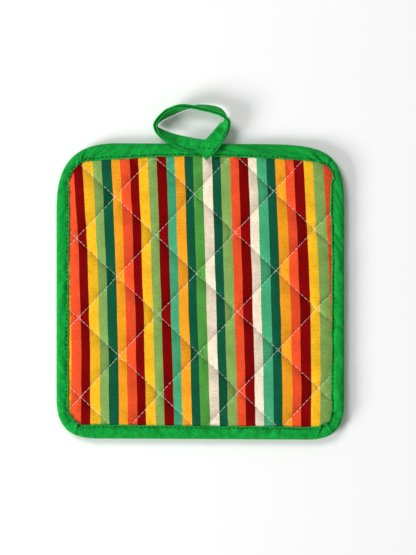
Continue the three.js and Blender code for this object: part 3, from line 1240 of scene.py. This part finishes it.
@dataclass
class Binding:
    """The folded tape round the edge and the seams that hold it.

    Attributes:
        shape: the pad's outlines and heights.
        hinges: how the tape is dressed and put into the frame.
        tape: thickness of the tape, in millimetres.
        profile: the front half of its section, from the edge turned under to the outer edge, each as a share
            across the binding and a height above the flange.
        samples: vertices across the whole section.
        seam_share: how far across the binding its seam runs.
        seam_off: how far above or below the pad's middle height the seam lies at least.
        thread_lies: how high that seam's thread lies above the tape.
        stitches: the stitches of its seam.
        gathers: where it bunches.
        ripple: how high the long ripples along its middle are, in millimetres.
        pucker: how high the short puckers round the corners are.
        crumple: how high the small creases are everywhere, and how much higher beside the seam.
        pull: how much each stitch pulls it down.
        stray: how far its inner edge strays, as a share of its width.
        deepest: how far its surface may sink.
        pressed: how far its underside may bulge, where it lies on the floor.
    """

    shape: PadShape
    hinges: Hinges
    tape: float = 0.75
    profile: tuple[tuple[float, float], ...] = (
        (0.80, 0.42),
        (0.94, 0.40),
        (1.0, 0.85),
        (0.965, 1.36),
        (0.905, 1.24),
        (0.84, 0.80),
        (0.775, 1.16),
        (0.62, 1.66),
        (0.42, 1.78),
        (0.22, 1.50),
        (0.07, 0.72),
        (0.005, -0.60),
    )
    samples: int = 47
    seam_share: float = 0.84
    seam_off: float = 1.9
    thread_lies: float = 0.3
    stitches: StitchStyle = StitchStyle(pitch=3.0, length=2.4, width=0.72, height=0.4)
    gathers: tuple[Gather, ...] = (
        Gather((84.0, -91.5), 3.6, 0.9, 0.22, 1.2),
        Gather((92.5, 80.5), 4.4, 0.9, -0.15, 1.3),
        Gather((90.5, 61.0), 20.0, 0.0, 0.14, 0.0),
        Gather((-90.0, -86.0), 2.8, 0.5, 0.12, 0.8),
        Gather((-75.0, 95.0), 3.4, 0.5, 0.1, 0.8),
    )
    ripple: float = 1.1
    pucker: float = 2.2
    crumple: tuple[float, float] = (0.42, 0.5)
    pull: float = 0.16
    stray: float = 0.05
    deepest: float = 0.6
    pressed: float = 0.35

    def _section(self) -> Array:
        """The whole section, front and back, as share and height above the floor."""
        front = np.array(self.profile)
        front = np.column_stack([front[:, 0], self.shape.flange + front[:, 1]])
        back = front[::-1] * [1, -1] + [0, 2 * self.shape.middle]
        return smooth_curve(np.vstack([front, back]), self.samples + 1)

    def surface(self) -> Array:
        """The tape's outer face, as a grid of points along the pad's edge and across the section."""
        outer = self.shape.ring(0.0)
        inner = self.shape.ring(1.0)
        section = self._section()
        along = lengths_along(np.vstack([outer, outer[:1]]))[:-1]
        loop = along / (along[-1] + along[1]) * 2 * np.pi
        around = np.column_stack([np.cos(loop), np.sin(loop)]) * 118.0
        turning = self._turning(outer)
        ripple = waver(around, 12.0, 4.2) + 0.6 * waver(around, 5.5, 9.1)
        pucker = waver(around, 2.6, 1.7)
        edge_wobble = waver(around, 8.0, 6.3) + 0.5 * waver(around, 2.4, 3.9)
        pull = np.cos(along / self.stitches.pitch * 2 * np.pi)
        grid = np.empty((len(outer), len(section), 3))
        for k, (share, height) in enumerate(section):
            side = 1.0 if height > self.shape.middle else -1.0
            puffed = bump_at(np.array(share - 0.45), 0.38)
            near_edge = smoothstep(0.45, 0.9, np.array(share))
            near_seam = bump_at(np.array(share - self.seam_share), 0.13)
            shift = self.stray * edge_wobble * near_edge
            place = outer + (inner - outer) * (share + shift)[:, None]
            crumple_height = self.crumple[0] + self.crumple[1] * bump_at(np.array(share - 0.72), 0.16)
            crumple = waver(place, 3.4, 2.6 + side) * crumple_height
            lift = self.ripple * ripple * puffed + self.pucker * pucker * turning * (0.35 + 0.65 * near_edge)
            lift = lift + crumple * (height > self.shape.middle + 1.2) + self.pull * pull * near_seam
            lift = np.maximum(lift, -self.deepest)
            for gather in self.gathers if side > 0 else ():
                gap = np.linalg.norm(place - np.array(gather.at), axis=1)
                near = bump_at(gap, gather.radius)
                place = place + (inner - outer) * (gather.push * near * near_edge)[:, None]
                centre = int(np.argmin(np.linalg.norm(inner - np.array(gather.at), axis=1)))
                beside = np.abs((along - along[centre] + along[-1] / 2) % along[-1] - along[-1] / 2)
                fold = bump_at(beside, 0.9) * bump_at(gap, gather.radius * 1.4)
                lift = lift + gather.lift * near - gather.crease * fold
            if side < 0:
                lift = np.minimum(lift, self.pressed)
            grid[:, k, :2] = place
            grid[:, k, 2] = height + side * lift
        return grid

    def _turning(self, outer: Array) -> Array:
        """How sharply the edge turns at each point, from 0 on a straight to 1 at a corner.

        Args:
            outer: the outline's points.

        Returns:
            One value for each point.
        """
        ahead, behind = np.roll(outer, -12, axis=0) - outer, outer - np.roll(outer, 12, axis=0)
        cross = ahead[:, 0] * behind[:, 1] - ahead[:, 1] * behind[:, 0]
        bend = np.abs(cross) / (np.linalg.norm(ahead, axis=1) * np.linalg.norm(behind, axis=1))
        return smoothstep(0.02, 0.22, bend)

    def build(self, finishes: Finishes) -> None:
        """Makes and dresses the binding and its seams and puts them into the frame.

        Args:
            finishes: every material.
        """
        grid = self.surface()
        along, across = grid.shape[:2]
        obj, share = cut_cloth("binding", along, across - 1)
        i, k = np.rint(share * [along, across - 1]).astype(int).T
        move_vertices(obj, grid[i % along, k])
        edge = lengths_along(np.vstack([grid[:, across // 2], grid[:1, across // 2]]))
        width = lengths_along(grid[0])
        lay_cloth_uv(obj, np.column_stack([edge[i], width[k]]))
        edit_whole(obj, bpy.ops.mesh.remove_doubles, threshold=1e-4)  # closes the ring
        top = [face.normal.z for face in obj.data.polygons if face.center.z > self.shape.flange + 1.3]
        if sum(top) < 0:
            turn_faces(obj)
        thicken(obj, self.tape)
        smooth(obj)
        self.hinges.across_pad(obj, finishes.tape)
        label(obj, "green_tape", "binding_lower", "binding_upper")
        self._sew(grid, finishes)

    def _sew(self, grid: Array, finishes: Finishes) -> None:
        """Sews the binding on, along the groove of its section on both sides.

        Args:
            grid: the tape's outer face.
            finishes: every material.
        """
        section = self._section()
        for side in Side:
            outside = (section[:, 1] - self.shape.middle) * side.out >= self.seam_off
            miss = np.where(outside, np.abs(section[:, 0] - self.seam_share), np.inf)
            column = grid[:, int(np.argmin(miss))]
            path = np.vstack([column, column[:1]])
            path[:, 2] += side.out * self.thread_lies
            runs = [(path, side.ways_out(len(path)))]
            obj = sew(f"{side.word}_binding_stitches", runs, self.stitches, seed=21 + int(side.out))
            self.hinges.across_pad(obj, finishes.green_thread)
            label(obj, "green_thread", *side.nodes("binding_seam"))


@dataclass
class HangingLoop:
    """The loop of folded tape, with its two ends sewn across the binding.

    Attributes:
        hinges: how the tape and its seams are dressed and put into the frame.
        cloth: thickness of one of its layers, in millimetres.
        route: the tape's sewn edge and its folded edge at points along it, from its hidden end to its
            top end.
        steps: pieces along it.
        section: half of its section, from the edge turned in to the fold, as shares across and heights.
        pressed: how flat the two sewn-down ends are, as a share of the tape's thickness.
        seam: where its edge seam runs, as a share across and a height.
        thread_lies: how high that seam's thread lies above the tape.
        stitches: the stitches of its seams.
        tack: the row of stitches that holds the top end down.
        dents: small hollows pressed into the tape, as places, radii and depths.
    """

    hinges: Hinges
    cloth: float = 0.36
    route: tuple[tuple[tuple[float, float, float], tuple[float, float, float]], ...] = (
        ((4, 96.7, 8.9), (6.4, 105, 8.9)),
        ((-3.9, 97.3, 8.9), (-1.6, 105.9, 8.9)),
        ((-9.3, 97.9, 9.1), (-7.4, 107, 8.6)),
        ((-13.5, 98.8, 9.5), (-11.2, 107.8, 7.7)),
        ((-19.8, 102, 10.4), (-16.2, 109, 4.2)),
        ((-25.6, 105.6, 10.8), (-21.4, 110.5, 2.7)),
        ((-29.4, 109.5, 11.2), (-26.2, 112.3, 1.8)),
        ((-31.1, 113.2, 11.6), (-29.6, 113.9, 1.4)),
        ((-31.2, 116.4, 11.7), (-30.3, 116.4, 1.4)),
        ((-28.1, 121, 11.5), (-26.6, 119.7, 1.4)),
        ((-22.6, 125.7, 11.2), (-20.6, 122.4, 1.5)),
        ((-14.8, 128.4, 11.4), (-13.8, 125.6, 1.5)),
        ((-7.1, 128, 11.7), (-6.9, 128, 1.4)),
        ((-1, 126.8, 11.5), (-0.3, 129.6, 1.5)),
        ((5.4, 125.3, 11.1), (6.6, 129.3, 1.6)),
        ((11.8, 123.5, 11), (13.2, 127.8, 1.6)),
        ((16.2, 120.9, 11.6), (17, 123.4, 1.5)),
        ((18.6, 117.8, 11.6), (16.6, 120.2, 1.8)),
        ((19.4, 114.4, 11.5), (14.4, 118, 3.2)),
        ((18.6, 110, 11.4), (11.6, 114.6, 5.4)),
        ((16, 104.2, 11.3), (8.2, 110.4, 9)),
        ((12.2, 98.2, 11), (4.2, 106, 11)),
        ((8.3, 94.1, 10.9), (0.2, 102.2, 10.9)),
        ((4.4, 91.1, 10.8), (-3.4, 98.8, 10.8)),
    )
    steps: int = 260
    section: tuple[tuple[float, float], ...] = (
        (0.55, 0.30),
        (0.90, 0.34),
        (0.995, 0.72),
        (0.965, 1.34),
        (0.88, 1.40),
        (0.775, 0.80),
        (0.68, 1.06),
        (0.30, 1.02),
        (-0.40, 0.98),
        (-0.82, 0.84),
        (-0.97, 0.45),
        (-1.0, 0.0),
    )
    pressed: float = 0.72
    seam: tuple[float, float] = (0.775, 0.80)
    thread_lies: float = 0.28
    stitches: StitchStyle = StitchStyle(pitch=2.9, length=2.2, width=0.62, height=0.36)
    tack: tuple[tuple[float, float], ...] = (
        (-2.6, 99.4),
        (-1.2, 99.9),
        (2.4, 99.4),
        (8.4, 98.8),
        (11.4, 98.5),
    )
    dents: tuple[tuple[tuple[float, float], float, float], ...] = (
        ((15.2, 113.4), 1.9, 1.0),
        ((9.9, 109.3), 1.6, 0.8),
        ((-25.6, 109.6), 2.0, 0.9),
    )

    def _frames(self) -> tuple[Array, Array, Array]:
        """The tape's middle line, half its width's way across it and the way out of its face."""
        edges = np.array(self.route, float)
        sewn, fold = (smooth_curve(edges[:, k], self.steps + 1) for k in (0, 1))
        middle, across = (sewn + fold) / 2, (sewn - fold) / 2
        forward = np.gradient(middle, axis=0)
        forward /= np.linalg.norm(forward, axis=1)[:, None]
        half = np.linalg.norm(across, axis=1)[:, None]
        across -= (across * forward).sum(1)[:, None] * forward
        across *= half / np.linalg.norm(across, axis=1)[:, None]
        return middle, across, np.cross(forward, across / half)

    def _section(self) -> Array:
        """The whole section, from one turned-in edge round the fold to the other."""
        half = np.array(self.section)
        return smooth_curve(np.vstack([half, half[-2::-1] * [1, -1]]), 57)

    def _rise(self, share: float, height: float) -> Array:
        """How far the tape's outside stands off its middle line, all along it, at one spot of its section.

        Args:
            share: the spot's place across the tape.
            height: its height in the section.

        Returns:
            One height for each point of the middle line.
        """
        run = lengths_along(self._frames()[0])
        along = run / run[-1]
        ruffle = waver(np.column_stack([run, run * 0.2]), 6.0, 2.2) * (1 - 0.6 * share**2)
        loose = smoothstep(0.02, 0.24, along) * (1 - smoothstep(0.80, 0.92, along))
        soft = 1 - (1 - self.pressed) * (1 - loose)
        flare = 1 + 0.35 * smoothstep(0.97, 1.0, along) * (share < 0.3)
        return height * soft * flare + 0.4 * ruffle

    def surface(self) -> Array:
        """The tape's outside, as a grid of points along it and round its section."""
        middle, across, out = self._frames()
        section = self._section()
        grid = np.empty((len(middle), len(section), 3))
        for k, (share, height) in enumerate(section):
            grid[:, k] = middle + across * share + out * self._rise(share, height)[:, None]
        down = np.sign(out[:, None, 2:]) * out[:, None]
        for at, radius, depth in self.dents:
            gap = np.linalg.norm(grid[..., :2] - np.array(at), axis=2)
            grid -= down * (depth * bump_at(gap, radius))[..., None]
        return grid

    def build(self, finishes: Finishes) -> None:
        """Makes and dresses the loop, its edge seam and the seam that tacks it down, and puts them into the
        frame; the tacking seam is fixed to the pad's upper half.

        Args:
            finishes: every material.
        """
        grid = self.surface()
        along, across = grid.shape[:2]
        obj, share = cut_cloth("hanging_tape", along - 1, across - 1)
        i, k = np.rint(share * [along - 1, across - 1]).astype(int).T
        move_vertices(obj, grid[i, k])
        run, girth = lengths_along(self._frames()[0]), lengths_along(grid[0])
        lay_cloth_uv(obj, np.column_stack([run[i], girth[k]]))
        first = obj.data.polygons[0]
        middle, out = self._frames()[0], self._frames()[2]
        nearest = int(np.argmin(np.linalg.norm(middle - np.array(first.center), axis=1)))
        upper_lip = np.dot(np.array(first.center) - middle[nearest], out[nearest]) > 0
        if (np.dot(np.array(first.normal), out[nearest]) > 0) != upper_lip:
            turn_faces(obj)
        thicken(obj, self.cloth)
        smooth(obj)
        tree = BVHTree.FromObject(obj, bpy.context.evaluated_depsgraph_get())
        self.hinges.at_loop(obj, finishes.tape)
        label(obj, "green_tape", "hanging_loop", "loop_start", "loop_end_tab")
        self._sew_edge(finishes.green_thread)
        self._tack(tree, finishes.green_thread)

    def _sew_edge(self, thread: bpy.types.Material) -> None:
        """Sews the tape's two edges together, showing on both of its faces."""
        middle, across, out = self._frames()
        share, height = self.seam
        sewn_over = slice(4, -3)
        runs = []
        for side in (1.0, -1.0):
            off = self._rise(share, side * height) + side * self.thread_lies
            line = middle + across * share + out * off[:, None]
            runs.append((line[sewn_over], (out * side)[sewn_over]))
        obj = sew("loop_edge_stitches", runs, self.stitches, seed=31)
        self.hinges.at_loop(obj, thread)
        label(obj, "green_thread", "loop_edge_seam")

    def _tack(self, tree: BVHTree, thread: bpy.types.Material) -> None:
        """Sews the loop's end down with the short row of stitches that crosses it.

        Args:
            tree: the finished tape, which the row lies on.
            thread: the row's finish.
        """
        line = smooth_curve(np.array(self.tack), 30)
        points, outs = [], []
        for x, y in line:
            spot, normal, _, _ = tree.ray_cast(Vector((x, y, 40.0)), Vector((0, 0, -1)))
            if spot:
                points.append(spot + normal * 0.05)
                outs.append(normal)
        obj = sew("loop_tack_stitches", [(np.array(points), np.array(outs))], self.stitches, seed=41)
        self.hinges.with_pad(obj, thread)
        label(obj, "green_thread", "loop_tack_seam")


# ------------------------------------------------------------------------------------------------ studio
@dataclass
class Studio:
    """The pale floor, the soft lights and the camera overhead.

    Attributes:
        place: where the pad lies.
        aim: where the camera looks, in millimetres from the pad's middle.
        height: how far up the camera is, in metres.
        view_height: how much of the floor it takes in from top to bottom, in metres.
        daylight: strength of the light that comes from all round.
    """

    place: Place
    aim: tuple[float, float] = (5.3, 9.7)
    height: float = 1.7
    view_height: float = 0.3868
    daylight: float = 0.335

    def build(self) -> None:
        """Sets up the floor, the lights and the camera."""
        self._floor()
        self._camera()
        self._light("key", (-2.0, -1.1, 1.15), size=1.0, power=61.0)
        self._light("side", (-1.1, 1.3, 1.9), size=1.0, power=31.0)
        world = bpy.data.worlds.new("studio")
        world.use_nodes = True
        background = world.node_tree.nodes["Background"]
        background.inputs["Color"].default_value = (1, 1, 1, 1)
        background.inputs["Strength"].default_value = self.daylight
        bpy.context.scene.world = world
        bpy.context.scene.view_settings.view_transform = "Standard"

    def _floor(self) -> None:
        """Lays the pale floor."""
        deselect_all()
        bpy.ops.mesh.primitive_plane_add(size=8, location=(0, 0, -0.0003))
        floor = bpy.context.object
        floor.name = "floor"
        board = NodeBoard("pale_floor")
        grain = board.mottle(board.place(1 / 60), 2.0, 0.995, 1.0)
        board.surface(board.tint((0.93, 0.93, 0.93, 1.0), grain), 0.9, 0.0)
        floor.data.materials.append(board.material)

    def _light(self, name: str, at: tuple[float, float, float], size: float, power: float) -> None:
        """Hangs one soft square light that looks at the pad.

        Args:
            name: the light's name.
            at: its place, in metres from the pad's middle.
            size: its width and height, in metres.
            power: its power, in watts.
        """
        data = bpy.data.lights.new(name, "AREA")
        data.shape = "SQUARE"
        data.size = size
        data.energy = power
        light = add_object(name, data)
        light.location = self.place.middle + Vector(at)
        light.rotation_mode = "QUATERNION"
        light.rotation_quaternion = (-Vector(at)).to_track_quat("-Z", "Y")

    def _camera(self) -> None:
        """Puts the camera overhead, looking straight down with the loop at the top."""
        data = bpy.data.cameras.new("camera")
        data.sensor_width = 36
        data.lens = data.sensor_width * self.height / self.view_height
        data.clip_start, data.clip_end = 0.05, 20
        camera = add_object("camera", data)
        camera.location = self.place.point(*self.aim, 0) + Vector((0, 0, self.height))
        bpy.context.scene.camera = camera


def main() -> None:
    """Builds the pot holder's pieces in order, then the studio round them."""
    logging.basicConfig(level=logging.INFO, format="%(message)s")
    place = Place.of_pad()
    shape = PadShape()
    hinges = Hinges(place)
    finishes = Finishes.mixed()
    QuiltedPad(shape, Quilting(), hinges).build(finishes)
    Binding(shape, hinges).build(finishes)
    HangingLoop(hinges).build(finishes)
    Studio(place).build()


if __name__ == "__main__":
    main()
